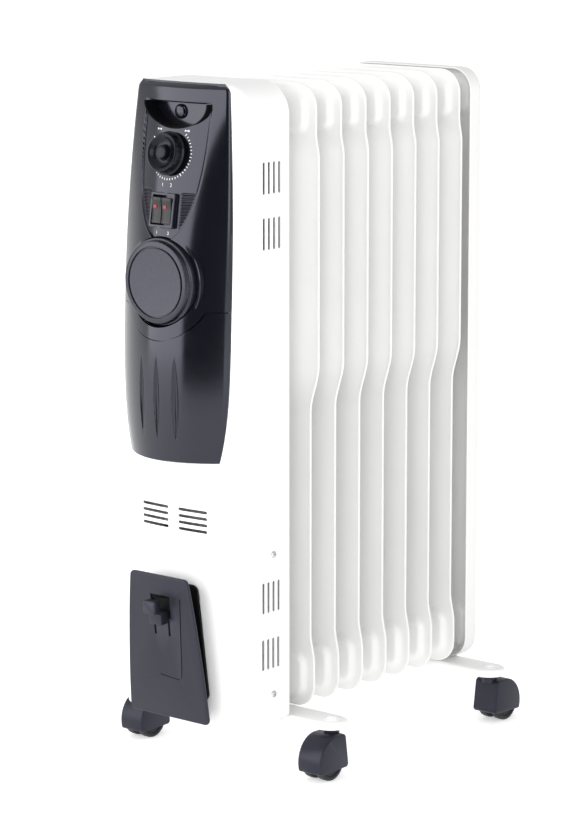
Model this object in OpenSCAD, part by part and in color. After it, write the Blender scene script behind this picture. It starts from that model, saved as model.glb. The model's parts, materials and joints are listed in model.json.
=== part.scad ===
// Oil filled radiator heater on four casters.
// The frame has +X to the right of someone facing the controls, +Y from the control end to the
// rear fin and +Z up. The origin is on the floor, under the middle of the whole heater.
// Lengths along Y inside the modules are counted from the rear rim of the sheet cover.

/* [Fins] */
// Height of the fin bottoms above the floor
fin_z = 54; // [50:1:60]
// Height of a fin
fin_h = 580; // [560:10:600]
// Half width of a fin at its top and bottom headers
fin_w = 77.5; // [76:0.5:80]
// Half width of a fin at its waist
fin_waist = 73; // [70:0.5:75]
// Distance from one fin to the next
fin_pitch = 35.35; // [33:0.05:37]
// Distance from the cover's rear rim to the first fin behind it
fin_gap = 32.3; // [30:0.1:34]
// How far the side wings of a fin lean towards the rear
wing_lean = 8.5; // [6:0.5:12]
// Radius of a fin's corners
fin_corner = 22; // [16:1:26]

/* [Cover] */
// Half width of the sheet cover
cover_w = 74; // [72:0.5:78]
// Distance from the rear rim to the foremost line of the cover
cover_d = 76; // [70:1:82]
// Height of the cover's bottom above the floor
cover_z = 52.5; // [50:0.5:56]
// Height of the cover's top above the floor
cover_top = 638; // [630:1:645]
// Radius of the cover's shoulders
shoulder_r = 30; // [20:1:36]
// Thickness of the sheet
sheet_t = 1.2; // [1:0.1:1.6]

/* [Control panel] */
// Half width of the panel at its widest
panel_w = 64.5; // [60:0.5:66]
// Height of the panel's lower edge above the floor
panel_z = 299; // [290:1:310]
// Bulge of the panel in front of the cover
panel_bulge = 28; // [20:1:30]
// Wall of the moulded panels
panel_t = 2.5; // [2:0.5:3]
// Height of the seam between the two panels
seam_z = 437; // [430:1:440]
// Height of the round cap's centre
cap_z = 461; // [455:1:465]
// Radius of the round cap
cap_r = 39.5; // [36:0.5:42]

/* [Controls] */
// Height of the thermostat knob's centre
knob_z = 575; // [570:1:580]
// Radius of the thermostat knob
knob_r = 20; // [17:1:21]
// Tilt of the knob's axis above the horizontal
knob_tilt = 12; // [8:1:14]
// Height of the switches' centre
switch_z = 525; // [522:1:528]
// Tilt of the switches above the horizontal
switch_tilt = 9; // [6:1:12]
// Distance between the two rockers' centres
rocker_pitch = 13.6; // [13:0.1:14]

/* [Cord wrap] */
// Height of the wrap plate's top edge
wrap_top = 193; // [185:1:195]
// Length of the wrap plate
wrap_h = 137; // [126:1:138]
// Half width of the wrap plate at its top
wrap_w_top = 35; // [30:1:38]
// Half width of the wrap plate at its bottom
wrap_w_bottom = 49; // [44:1:54]

/* [Running gear] */
// Half distance between the left and right caster stems
caster_x = 111; // [108:1:116]
// Radius of a caster wheel
wheel_r = 17; // [16:0.5:17]
// Width of a caster wheel
wheel_w = 8.8; // [8:0.1:9]
// Distance from the stem to the axle
caster_trail = 13; // [11:1:14]
// Height of the foot bars' lower rim
foot_z = 47; // [46:0.5:48]
// Width of a foot bar
foot_w = 32; // [28:1:34]
// Half length of a foot bar
foot_l = 126; // [124:1:130]

/* [Hidden] */
$fn = 64;

// The hook of the cord plate is the foremost point, the rear casters' hoods are the rearmost.
hook_reach = 110;
front_foot_y = 16.6;
rear_foot_y = 258;
hood_r = 19.6;
rear_reach = rear_foot_y + caster_trail + hood_r;
cover_y = (hook_reach - rear_reach) / 2;

white = [0.93, 0.93, 0.91];
cream = [0.88, 0.88, 0.86];
black = [0.17, 0.17, 0.19];
steel = [0.7, 0.7, 0.72];
brass = [0.8, 0.65, 0.35];
red = [0.75, 0.1, 0.08];

function smooth(a, b, v) = let (t = max(0, min(1, (v - a) / (b - a)))) t * t * (3 - 2 * t);

// Closed skin between a front and a back grid of points with the same rows and columns.
module skin(front, back) {
    rows = len(front);
    cols = len(front[0]);
    n = rows * cols;
    flat = concat([for (r = front) each r], [for (r = back) each r]);
    function at(r, c) = r * cols + c;
    faces = concat(
        [for (r = [0 : rows - 2], c = [0 : cols - 2]) each [
            [at(r, c), at(r + 1, c), at(r + 1, c + 1)],
            [at(r, c), at(r + 1, c + 1), at(r, c + 1)],
            [n + at(r, c), n + at(r + 1, c + 1), n + at(r + 1, c)],
            [n + at(r, c), n + at(r, c + 1), n + at(r + 1, c + 1)]]],
        [for (r = [0 : rows - 2]) each [
            [at(r, 0), n + at(r, 0), n + at(r + 1, 0)],
            [at(r, 0), n + at(r + 1, 0), at(r + 1, 0)],
            [at(r, cols - 1), at(r + 1, cols - 1), n + at(r + 1, cols - 1)],
            [at(r, cols - 1), n + at(r + 1, cols - 1), n + at(r, cols - 1)]]],
        [for (c = [0 : cols - 2]) each [
            [at(0, c), at(0, c + 1), n + at(0, c + 1)],
            [at(0, c), n + at(0, c + 1), n + at(0, c)],
            [at(rows - 1, c), n + at(rows - 1, c), n + at(rows - 1, c + 1)],
            [at(rows - 1, c), n + at(rows - 1, c + 1), at(rows - 1, c + 1)]]]);
    polyhedron(points = flat, faces = faces, convexity = 8);
}

module from_rim() {
    translate([0, cover_y, 0]) children();
}

// ---------------------------------------------------------------- fins
fin_top = fin_z + fin_h;
sheet_half = 0.8;
pad_rise = 7.5;
duct_rise = 5;
upper_axis_z = fin_top - 27;
lower_axis_z = fin_z + 28;
upper_pad_z = [fin_top - 46, fin_top - 42, fin_top - 12, fin_top - 8];
lower_pad_z = [fin_z + 6, fin_z + 10, fin_z + 46, fin_z + 52];
front_fin_w = 71;
rear_rim = 15;
fin_columns = [-1, -0.97, -0.88, -0.8, -0.58, -0.31, -0.24, 0.24, 0.31, 0.58, 0.8, 0.88, 0.97, 1];
fin_rows = [
    for (d = [0, 1.5, 6, 10, 22, 46, 52, 74, 280, 300, 318]) fin_z + d,
    for (d = [64, 46, 42, 22, 12, 8, 1.5, 0]) fin_top - d];

function fin_y(i) = fin_gap + (i - 2) * fin_pitch;

function corner_cut(z) = let (
        d = fin_corner - min(z - fin_z, fin_top - z, fin_corner))
    fin_corner - sqrt(max(0, fin_corner * fin_corner - d * d));

// Half width at height z: wide at the headers, drawn in at the waist.
function fin_half(i, z) = (i == 1 ? front_fin_w
    : i == 9 ? fin_w - 0.7
    : fin_waist + (fin_w - fin_waist) * (1 - smooth(lower_pad_z[3] - 10, lower_pad_z[3] + 22, z))
        + 2.5 * smooth(fin_z + 280, fin_z + 318, z)
        + 2 * smooth(fin_top - 64, fin_top - 46, z)) - corner_cut(z);

// The wings of the inner fins lean to the rear over the upper part.
function lean(i, u, z) = (i == 1 || i == 9) ? 0
    : wing_lean * smooth(0.55, 1, abs(u)) * smooth(fin_z + 280, fin_z + 318, z)
        * (1 - smooth(fin_top - 64, fin_top - 46, z));

// The last fin is a tray whose rim points forwards.
function rim(i, u, z) = (i == 9 && (abs(u) > 0.98 || z < fin_z + 1 || z > fin_top - 1)) ? -rear_rim : 0;

function pad(z, p) = smooth(p[0], p[1], z) * (1 - smooth(p[2], p[3], z));

function rise(u, z) = max(
    pad_rise * (1 - smooth(0.8, 0.88, abs(u))) * max(pad(z, upper_pad_z), pad(z, lower_pad_z)),
    duct_rise * (1 - smooth(0.24, 0.31, abs(u))) * pad(z, [fin_z + 46, fin_z + 52, fin_top - 46, fin_top - 42]));

function fin_grid(i, side) = [for (z = fin_rows) [for (u = fin_columns)
    [u * fin_half(i, z),
     fin_y(i) + lean(i, u, z) + rim(i, u, z) + side * (sheet_half + rise(u, z)),
     z]]];

upper_bore = 9;
lower_bore = 13;

module header_bore(z, r, y, length) {
    translate([0, y, z]) rotate([-90, 0, 0]) cylinder(r = r, h = length);
}

// Two sheets welded round their edges, hollow at the headers and the duct.
module fin(i) {
    shell = 1.3;
    pad_in = pad_rise + sheet_half - shell;
    duct_in = duct_rise + sheet_half - shell;
    y = fin_y(i);
    reach = pad_rise + sheet_half + 1;
    color(cream) from_rim() difference() {
        skin(fin_grid(i, -1), fin_grid(i, 1));
        for (p = [upper_pad_z, lower_pad_z])
            translate([-54, y - pad_in, p[1] + 1]) cube([108, 2 * pad_in, p[2] - p[1] - 2]);
        translate([-15, y - duct_in, fin_z + 40]) cube([30, 2 * duct_in, fin_h - 80]);
        if (i > 1) header_bore(upper_axis_z, upper_bore, y - reach, reach);
        if (i < 9) header_bore(upper_axis_z, upper_bore, y, reach);
        header_bore(lower_axis_z, lower_bore, y - reach, reach);
        if (i < 9) header_bore(lower_axis_z, lower_bore, y, reach);
    }
}

// Short tubes welded between neighbouring fins.
module header_collars(z, outer, inner) {
    face = pad_rise + sheet_half;
    color(cream) from_rim() for (i = [1 : 8])
        translate([0, fin_y(i) + face, z]) rotate([-90, 0, 0]) difference() {
            cylinder(r = outer, h = fin_pitch - 2 * face);
            translate([0, 0, -1]) cylinder(r = inner, h = fin_pitch);
        }
}

// ---------------------------------------------------------------- heating elements
element_r = 2.8;
element_off = 6.5;
fin_1_face = fin_y(1) - pad_rise - sheet_half;
gasket_t = 1.5;
flange_t = 4;
flange_face = fin_1_face - gasket_t - flange_t;
terminal_l = 16;

// A hairpin tube along +Y whose two legs lie at turn degrees round the header axis.
module hairpin(length, turn) {
    color(steel) from_rim() translate([0, 0, lower_axis_z]) rotate([0, turn, 0]) {
        for (s = [-1, 1]) translate([s * element_off, flange_face - terminal_l, 0]) rotate([-90, 0, 0])
            cylinder(r = element_r, h = length + terminal_l);
        translate([0, flange_face + length, 0]) rotate_extrude(angle = 180)
            translate([element_off, 0]) circle(r = element_r);
    }
}

module element_flange() {
    color(brass) from_rim() difference() {
        translate([0, flange_face, lower_axis_z]) rotate([-90, 0, 0]) union() {
            cylinder(r = 22, h = flange_t);
            translate([0, 0, -7]) cylinder(r = 15, h = 8, $fn = 6);
        }
        for (turn = [0, 90]) translate([0, 0, lower_axis_z]) rotate([0, turn, 0])
            for (s = [-1, 1]) translate([s * element_off, flange_face - 10, 0]) rotate([-90, 0, 0])
                cylinder(r = element_r, h = 30);
    }
}

module element_gasket() {
    color(black) from_rim() translate([0, flange_face + flange_t, lower_axis_z])
        rotate([-90, 0, 0]) difference() {
            cylinder(r = 17.5, h = gasket_t);
            translate([0, 0, -1]) cylinder(r = lower_bore, h = 4);
        }
}

module oil_fill_plug() {
    color(steel) from_rim() translate([0, fin_1_face, upper_axis_z]) rotate([90, 0, 0]) {
        cylinder(r = 11, h = 2);
        translate([0, 0, 2]) cylinder(r = 8, h = 5, $fn = 6);
    }
}

// Snap disc limiter strapped to the first fin.
module thermal_cutout() {
    color(steel) from_rim() translate([38, fin_y(1) - sheet_half, 180]) rotate([90, 0, 0]) {
        translate([-14, -6, 0]) cube([28, 12, 1]);
        translate([0, 0, 1]) cylinder(r = 8, h = 7);
        for (s = [-1, 1]) translate([s * 4 - 1.5, -0.4, 8]) cube([3, 0.8, 7]);
    }
}

// ---------------------------------------------------------------- cover
corner_r = 8;
profile_z = 290;
bow = 720;
barrel = 8000;
cover_bottom_r = 4;
cover_rows = [
    for (d = [0, 1.2, 4]) cover_z + d,
    for (z = [120 : 60 : 540]) z,
    for (a = [0 : 15 : 90]) cover_top - shoulder_r + shoulder_r * sin(a)];

// Front face of the cover: bowed sideways and barrelled up and down.
function cover_front(x, z) = -cover_d + x * x / bow + (z - profile_z) * (z - profile_z) / barrel;

function shoulder(z) = let (d = max(0, z - (cover_top - shoulder_r)))
    shoulder_r - sqrt(max(0, shoulder_r * shoulder_r - d * d));

function bottom_cut(z) = let (d = max(0, cover_bottom_r - (z - cover_z)))
    cover_bottom_r - sqrt(max(0, cover_bottom_r * cover_bottom_r - d * d));

// One level of the cover's outline from the rear left rim round the front to the rear right rim.
function cover_ring(z, inset) = let (
        w = cover_w - shoulder(z) - inset,
        b = bottom_cut(z) + inset,
        r = corner_r - inset,
        xs = w - r)
    concat(
        [[-w, 1, z]],
        [for (a = [90 : -22.5 : 0])
            [-xs - r * sin(a), cover_front(xs, z) + b + r - r * cos(a), z]],
        [for (x = [-0.6, -0.2, 0.2, 0.6]) [x * xs, cover_front(x * xs, z) + b, z]],
        [for (a = [0 : 22.5 : 90])
            [xs + r * sin(a), cover_front(xs, z) + b + r - r * cos(a), z]],
        [[w, 1, z]]);

// Solid made of stacked rings with the same number of points.
module stack(rings) {
    n = len(rings[0]);
    m = len(rings);
    faces = concat(
        [for (j = [0 : m - 2], i = [0 : n - 1]) each [
            [j * n + i, (j + 1) * n + (i + 1) % n, j * n + (i + 1) % n],
            [j * n + i, (j + 1) * n + i, (j + 1) * n + (i + 1) % n]]],
        [[for (i = [0 : n - 1]) i]],
        [[for (i = [n - 1 : -1 : 0]) (m - 1) * n + i]]);
    polyhedron(points = [for (r = rings) each r], faces = faces, convexity = 6);
}

// The hollow's levels, and its rings, which run out past the rear rim.
hollow_low = cover_z + sheet_t;
hollow_top = cover_top - sheet_t;
hollow_rows = concat(
    [hollow_low],
    [for (z = cover_rows) if (z > hollow_low + 1 && z < hollow_top - 1) z],
    [hollow_top]);

function opened(ring) = [for (p = ring) [p[0], p[1] > 0 ? 6 : p[1], p[2]]];

vent_h = 29;
vent_w = 3.4;
vent_pitch = 7;
vent_y = -24;
side_vents = [[0, 554], [0, 504], [-1.5, 171], [-2, 118]];
screw_z = [210, 79];
screw_y = -22;

module vent_cuts() {
    for (s = [-1, 1], v = side_vents, k = [-1.5 : 1 : 1.5])
        translate([s * cover_w - 6, vent_y + v[0] + k * vent_pitch - vent_w / 2, v[1] - vent_h / 2])
            cube([12, vent_w, vent_h]);
    for (s = [-1, 1], k = [-1.5 : 1 : 1.5])
        translate([s * 23 - 16.5, -cover_d - 4, 243 + k * 6 - 1.4]) cube([33, 20, 2.8]);
}

module front_cover() {
    color(white) from_rim() difference() {
        stack([for (z = cover_rows) cover_ring(z, 0)]);
        stack([for (z = hollow_rows) opened(cover_ring(z, sheet_t))]);
        translate([-100, 0, 0]) cube([200, 20, 700]);
        vent_cuts();
        translate([-44, -cover_d - 10, 340]) cube([88, 30, 284]);
        translate([-front_fin_w - 0.8, -13, cover_z - 1]) cube([2 * front_fin_w + 1.6, 20, 4]);
        for (s = [-1, 1], z = screw_z) translate([s * cover_w - s * 8, screw_y, z])
            rotate([0, s * 90, 0]) cylinder(r = 1.8, h = 12);
        translate([0, -45, cover_z - 2]) cylinder(r = gland_r, h = 6);
        for (z = spool_screw_z) translate([0, -cover_d - 2, z]) rotate([-90, 0, 0]) cylinder(r = 2, h = 12);
    }
}

// Self-tapping screws through the cover's sides into the brackets.
module cover_screws() {
    color(steel) from_rim() for (s = [-1, 1], z = screw_z)
        translate([s * cover_w, screw_y, z]) rotate([0, s * 90, 0]) {
            cylinder(r1 = 3.4, r2 = 2.4, h = 1.4);
            translate([0, 0, -7]) cylinder(r = 1.7, h = 7);
        }
}

// Angles on the first fin's flange that the cover is screwed to.
module cover_brackets() {
    out = cover_w - sheet_t - 0.4;
    t = 1.5;
    back = fin_y(1) - sheet_half;
    root_x = [24, 64];
    color(steel) from_rim() for (s = [-1, 1], k = [0, 1]) translate([0, 0, screw_z[k]]) {
        difference() {
            translate([s * (out - t / 2) - t / 2, screw_y - 10, -8]) cube([t, back - screw_y + 10, 16]);
            translate([s * (out + 2), screw_y, 0]) rotate([0, -s * 90, 0]) cylinder(r = 1.75, h = 6);
        }
        mirror([s < 0 ? 1 : 0, 0, 0]) translate([root_x[k], back - t, -8]) cube([out - root_x[k], t, 16]);
    }
}

// ---------------------------------------------------------------- control panel
panel_top = 638;
panel_mid = 450;
bulge_mid = 400;
skin_gap = 0.3;
panel_levels = [
    for (z = [panel_z, 303, 308, 316, 328, 345, 370]) z,
    for (z = [400 : 30 : 610]) z,
    626, panel_top];
panel_steps = [-1, -0.96, -0.86, -0.7, -0.5, -0.25, 0, 0.25, 0.5, 0.7, 0.86, 0.96, 1];

// Half width of the panel at height z.
function panel_half(z) = z > panel_mid
    ? panel_w - 10 * pow((z - panel_mid) / (panel_top - panel_mid), 2)
    : panel_w - 11 * pow((panel_mid - z) / (panel_mid - panel_z), 4);

// Bulge of the panel at height z.
function bulge(z) = z > bulge_mid
    ? panel_bulge - 22 * pow((z - bulge_mid) / (panel_top - bulge_mid), 2)
    : panel_bulge - 6 * pow((bulge_mid - z) / (bulge_mid - panel_z), 2);

function panel_front(x, z) = let (a = panel_half(z))
    cover_front(a, z) - bulge(z) * (1 - x * x / (a * a)) - 1.5;

function bulge_grid(inset, deep) = [for (z = panel_levels) [for (u = panel_steps) let (
        a = panel_half(z),
        x = u * (a - inset),
        zi = max(panel_z + inset, min(panel_top - inset, z)))
    [x, deep > 0 ? cover_front(x, zi) + deep : min(panel_front(x, zi) + inset, cover_front(x, zi) - 0.6), zi]]];

module bulge_shell() {
    difference() {
        skin(bulge_grid(0, 0), [for (z = panel_levels) [for (u = panel_steps)
            let (x = u * panel_half(z)) [x, cover_front(x, z) - skin_gap, z]]]);
        skin(bulge_grid(panel_t, 0), bulge_grid(panel_t, 4));
    }
}

seam_r = cap_r + 12.5;

// Region of the upper panel, grown by g.
module upper_region(g) {
    union() {
        translate([-90, -130, seam_z - g]) cube([180, 110, 250]);
        translate([0, -130, cap_z]) rotate([-90, 0, 0]) cylinder(r = seam_r + g, h = 110);
    }
}

// Half ellipse, flat side up.
function half_ellipse(a, b) = [for (t = [180 : 12 : 360]) [a * cos(t), b * sin(t)]];
grip_w = 37.5;
grip_h = 23;
grip_z = 620;

module grip_prism(grow, y, depth) {
    translate([0, y + depth, grip_z]) rotate([90, 0, 0]) linear_extrude(depth)
        polygon(half_ellipse(grip_w + grow, grip_h + grow));
}

module on_knob() {
    translate([0, panel_front(0, knob_z), knob_z]) rotate([90 - knob_tilt, 0, 0]) children();
}

module on_switch() {
    translate([0, panel_front(0, switch_z), switch_z]) rotate([90 - switch_tilt, 0, 0]) children();
}

switch_w = 2 * rocker_pitch + 1;
switch_h = 27;
frame_w = switch_w + 4.4;
frame_h = switch_h + 4.4;

module control_panel() {
    color(black) from_rim() difference() {
        intersection() {
            bulge_shell();
            upper_region(0);
        }
        grip_prism(0, -110, 70);
        on_knob() translate([0, 0, -20]) cylinder(r = 4.5, h = 30);
        on_switch() translate([-frame_w / 2 - 0.1, -frame_h / 2 - 0.1, -20])
            cube([frame_w + 0.2, frame_h + 0.2, 40]);
        translate([0, -120, cap_z]) rotate([-90, 0, 0]) cylinder(r = cap_r + 0.4, h = 70);
    }
}

module lower_panel() {
    color(black) from_rim() difference() {
        bulge_shell();
        upper_region(0.8);
    }
}

cap_face = -98;

// Blanking cap: a flat round boss with a ring groove, hollow behind.
module round_cap() {
    color(black) from_rim() translate([0, cap_face, cap_z]) rotate([-90, 0, 0]) difference() {
        cylinder(r = cap_r, h = 18);
        translate([0, 0, -1]) difference() {
            cylinder(r = 32.4, h = 2);
            translate([0, 0, -1]) cylinder(r = 31.2, h = 4);
        }
        translate([0, 0, 3]) cylinder(r = cap_r - panel_t, h = 30);
    }
}

// Finger cup behind the opening under the top strip.
module grip_cup() {
    color(black) from_rim() {
        difference() {
            grip_prism(2, -62, 29);
            grip_prism(0.2, -65, 30);
        }
        translate([-grip_w - 2, -62, grip_z]) cube([2 * grip_w + 4, 29, 2]);
    }
}

module grip_boss() {
    color(black) from_rim() translate([4, -35, grip_z - 10]) rotate([90, 0, 0]) {
        cylinder(r = 6, h = 5);
    }
}

// ---------------------------------------------------------------- controls
shaft_r = 3;

module thermostat_knob() {
    color(black) from_rim() on_knob() difference() {
        union() {
            translate([0, 0, 1]) cylinder(r1 = knob_r, r2 = knob_r - 1.5, h = 6);
            translate([0, 0, 7]) cylinder(r1 = knob_r - 2.5, r2 = knob_r - 6, h = 8);
            translate([-2.5, -(knob_r - 5), 9]) cube([5, 2 * (knob_r - 5), 9]);
        }
        translate([0, 0, -1]) cylinder(r = shaft_r + 0.05, h = 13);
    }
}

// Thermostat body, its bush and the shaft that the knob turns on.
module thermostat() {
    color(steel) from_rim() on_knob() {
        translate([-15, -12, -32]) cube([30, 24, 20]);
        translate([0, 0, -12.5]) cylinder(r = 4.2, h = 12);
        translate([0, 0, -1]) cylinder(r = shaft_r, h = 12);
    }
}

module switch_frame() {
    color(black) from_rim() on_switch() difference() {
        translate([-frame_w / 2, -frame_h / 2, -4]) cube([frame_w, frame_h, 6.6]);
        translate([-switch_w / 2, -switch_h / 2, -5]) cube([switch_w, switch_h, 10]);
    }
}

rocker_w = 12.8;
rocker_rock = 7;
trunnion_w = rocker_w + 0.5;

// Rocker with two faces that meet over its pivot, which two short trunnions form.
module rocker(side) {
    color(black) from_rim() on_switch() translate([side * rocker_pitch / 2, 0, -2]) {
        rotate([rocker_rock, 0, 0]) rotate([0, -90, 0]) translate([0, 0, -rocker_w / 2])
            linear_extrude(rocker_w) polygon([[-3, -9], [4, -12], [4.6, -5], [4, 0], [4.6, 5], [4, 12], [-3, 9]]);
        rotate([0, 90, 0]) translate([0, 0, -trunnion_w / 2]) cylinder(r = 2, h = trunnion_w);
    }
}

module switch_body(side) {
    color(black) from_rim() on_switch() translate([side * rocker_pitch / 2, 0, 0])
        translate([-rocker_w / 2, -13, -30]) cube([rocker_w, 26, 22]);
}

module terminal_block() {
    block_back = fin_y(1) - sheet_half - duct_rise;
    color(white) from_rim() difference() {
        translate([-22, block_back - 14, 256]) cube([44, 14, 16]);
        for (k = [-1.5 : 1 : 1.5])
            translate([k * 10, block_back - 15, 264]) rotate([-90, 0, 0]) cylinder(r = 2, h = 8);
    }
}

// ---------------------------------------------------------------- cord wrap
gland_r = 7;
spool_screw_z = [106, 160];
plate_t = 3;
wrap_tilt = 6;
plate_face = -97;

module cord_gland() {
    color(black) from_rim() translate([0, -45, cover_z - 6]) difference() {
        union() {
            cylinder(r = 9.5, h = 5.8);
            translate([0, 0, 5.8]) cylinder(r = gland_r - 0.2, h = 8);
        }
        translate([0, 0, -1]) cylinder(r = 3.6, h = 20);
    }
}

// Trapezium with rounded corners, z up, centred on x.
module plate_outline(top, bottom, h, r) {
    hull() {
        for (s = [-1, 1]) {
            translate([s * (top - r), h - r]) circle(r = r, $fn = 32);
            translate([s * (bottom - r), r]) circle(r = r, $fn = 32);
        }
    }
}

module on_plate() {
    translate([0, plate_face, wrap_top]) rotate([wrap_tilt, 0, 0]) translate([0, 0, -wrap_h]) children();
}

// The rear flange leans with the cover behind it.
flange_top = 184;
flange_h = 108;
flange_back = -75.5;
rear_flange_t = 2.5;

module on_flange() {
    translate([0, flange_back, flange_top]) rotate([2.5, 0, 0]) translate([0, 0, -flange_h]) children();
}

// Core that the cord winds round, with the flange that lies on the cover.
module cord_spool() {
    color(black) from_rim() difference() {
        union() {
            on_flange() rotate([90, 0, 0]) linear_extrude(rear_flange_t) plate_outline(30, 40, flange_h, 6);
            translate([0, -70, 96]) rotate([90, 0, 0]) linear_extrude(30) plate_outline(17, 19, 74, 10);
        }
        on_plate() translate([-60, -40, -10]) cube([120, 40 + plate_t, wrap_h + 20]);
        on_flange() translate([-60, 0, -10]) cube([120, 20, flange_h + 20]);
        for (z = spool_screw_z) translate([0, -100, z]) rotate([-90, 0, 0]) cylinder(r = 2, h = 40);
    }
}

// Screws from inside the cover into the core.
module spool_screws() {
    color(steel) from_rim() for (z = spool_screw_z) let (inside = cover_front(0, z) + sheet_t)
        translate([0, inside - 12, z]) rotate([-90, 0, 0]) {
            cylinder(r = 1.9, h = 12);
            translate([0, 0, 13]) cylinder(r = 4, h = 2);
            cylinder(r = 1.2, h = 14);
        }
}

// Front plate with the key-shaped opening and the sprung hook tongue.
module cord_plate() {
    hook_w = 14.6;
    key_w = 25.4;
    color(black) from_rim() {
        on_plate() difference() {
            translate([0, plate_t, 0]) rotate([90, 0, 0]) linear_extrude(plate_t)
                plate_outline(wrap_w_top, wrap_w_bottom, wrap_h, 5);
            translate([-key_w / 2, -5, wrap_h - 38]) cube([key_w, 15, 19]);
            for (s = [-1, 1]) translate([s * 9.5 - 1.3, -5, wrap_h - 62]) cube([2.6, 15, 30]);
        }
        translate([-hook_w / 2, -hook_reach, wrap_top - 34.2]) cube([hook_w, 8, 12.4]);
        translate([-hook_w / 2, -hook_reach + 6, wrap_top - 43]) cube([hook_w, 12, 12]);
    }
}

// ---------------------------------------------------------------- feet and casters
foot_h = fin_z - foot_z;
foot_t = 1.8;
leg_x = 20;
bolt_r = 2.5;

module stadium(l, w) {
    hull() for (s = [-1, 1]) translate([s * (l - w / 2), 0]) circle(d = w, $fn = 48);
}

// Pressed steel bar, open underneath, with stem and U-bolt holes.
module foot(y) {
    color(white) from_rim() translate([0, y, foot_z]) difference() {
        union() {
            translate([-foot_l + foot_w / 2, -foot_w / 2, 0]) cube([2 * foot_l - foot_w, foot_w, foot_h]);
            for (s = [-1, 1]) translate([s * (foot_l - foot_w / 2), 0, 0]) cylinder(d = foot_w, h = foot_h);
        }
        translate([-foot_l + foot_w / 2, -foot_w / 2 + foot_t, -1])
            cube([2 * foot_l - foot_w, foot_w - 2 * foot_t, foot_h - foot_t + 1]);
        for (s = [-1, 1]) {
            translate([s * (foot_l - foot_w / 2), 0, -1]) cylinder(d = foot_w - 2 * foot_t, h = foot_h - foot_t + 1);
            translate([s * caster_x, 0, 0]) cylinder(r = stem_r + 0.1, h = 20);
            translate([s * leg_x, 0, 0]) cylinder(r = bolt_r + 0.1, h = 20);
        }
    }
}

// U-bolt over the lower header collar, down through the foot bar.
module foot_ubolt(y) {
    color(steel) from_rim() translate([0, y, lower_axis_z]) {
        rotate([90, 0, 0]) rotate_extrude(angle = 180) translate([leg_x, 0]) circle(r = bolt_r);
        for (s = [-1, 1]) translate([s * leg_x, 0, foot_z - 3 - lower_axis_z])
            cylinder(r = bolt_r, h = lower_axis_z - foot_z + 3);
    }
}

module foot_nuts(y) {
    color(steel) from_rim() for (s = [-1, 1]) translate([s * leg_x, y, foot_z + foot_h - foot_t - 5]) difference() {
        union() {
            cylinder(r = 5, h = 5);
            for (k = [-1, 1]) translate([k * 7 - 3, -1.2, -2]) cube([6, 2.4, 6]);
        }
        translate([0, 0, -5]) cylinder(r = bolt_r + 0.02, h = 12);
    }
}

stem_r = 4;
stem_low = 34;
axle_r = 3;
hood_w = 14;
hood_wall = 1.6;
web = 2.6;

function caster_end(n) = n <= 2 ? -1 : 1;
function caster_side(n) = n % 2 == 1 ? -1 : 1;
function caster_y(n) = n <= 2 ? front_foot_y : rear_foot_y;

module at_stem(n) {
    from_rim() translate([caster_side(n) * caster_x, caster_y(n), 0]) children();
}

module at_axle(n) {
    at_stem(n) translate([0, caster_end(n) * caster_trail, wheel_r]) rotate([0, 90, 0]) children();
}

module caster_stems() {
    color(steel) for (n = [1 : 4]) at_stem(n) {
        translate([0, 0, stem_low]) cylinder(r = stem_r, h = fin_z - stem_low - 0.3);
        translate([0, 0, fin_z - foot_t - 1.6]) cylinder(r = 8, h = 1.6);
    }
}

// Hood over two wheels with the stem socket at its leading side.
module caster_hood(n) {
    color(black) difference() {
        union() {
            at_axle(n) translate([0, 0, -hood_w]) cylinder(r = hood_r, h = 2 * hood_w);
            at_stem(n) translate([0, 0, 26]) cylinder(r = 8.5, h = foot_z - 28);
        }
        for (s = [-1, 1]) at_axle(n)
            translate([0, 0, s > 0 ? web : -hood_w + hood_wall]) cylinder(r = wheel_r + 1, h = hood_w - hood_wall - web);
        at_stem(n) translate([-30, -50, -11]) cube([60, 100, 21]);
        at_stem(n) translate([0, 0, stem_low - 1]) cylinder(r = stem_r + 0.05, h = 40);
        at_axle(n) translate([0, 0, -hood_w - 1]) cylinder(r = axle_r, h = 2 * hood_w + 2);
    }
}

module caster_axle(n) {
    color(steel) at_axle(n) translate([0, 0, -hood_w + 0.4]) cylinder(r = axle_r, h = 2 * hood_w - 0.8);
}

// side is -1 for the wheel towards the heater's middle and 1 for the outer one.
module caster_wheel(n, side) {
    place = side * caster_side(n);
    color(black) at_axle(n) translate([0, 0, place > 0 ? web + 0.5 : -web - 0.5 - wheel_w]) difference() {
        cylinder(r = wheel_r, h = wheel_w);
        translate([0, 0, -1]) cylinder(r = axle_r + 0.06, h = wheel_w + 2);
    }
}

for (i = [1 : 9]) fin(i);
header_collars(upper_axis_z, 13, upper_bore);  // upper_header_collars
header_collars(lower_axis_z, 17, lower_bore);  // lower_header_collars
hairpin(225, 0);  // heating_element_low
hairpin(250, 90);  // heating_element_high
element_flange();
element_gasket();
oil_fill_plug();
thermal_cutout();
cover_brackets();
front_cover();
cover_screws();
control_panel();
lower_panel();
round_cap();
grip_cup();
grip_boss();
thermostat_knob();
thermostat();
switch_frame();
rocker(-1);  // rocker_left
rocker(1);  // rocker_right
switch_body(-1);  // switch_body_left
switch_body(1);  // switch_body_right
terminal_block();
cord_gland();
cord_spool();
spool_screws();
cord_plate();
foot(front_foot_y);  // front_foot
foot(rear_foot_y);  // rear_foot
foot_ubolt(front_foot_y);  // front_foot_ubolt
foot_ubolt(rear_foot_y);  // rear_foot_ubolt
foot_nuts(front_foot_y);  // front_foot_nuts
foot_nuts(rear_foot_y);  // rear_foot_nuts
caster_stems();
for (n = [1 : 4]) {
    caster_hood(n);
    caster_axle(n);
    caster_wheel(n, -1);
    caster_wheel(n, 1);
}
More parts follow.
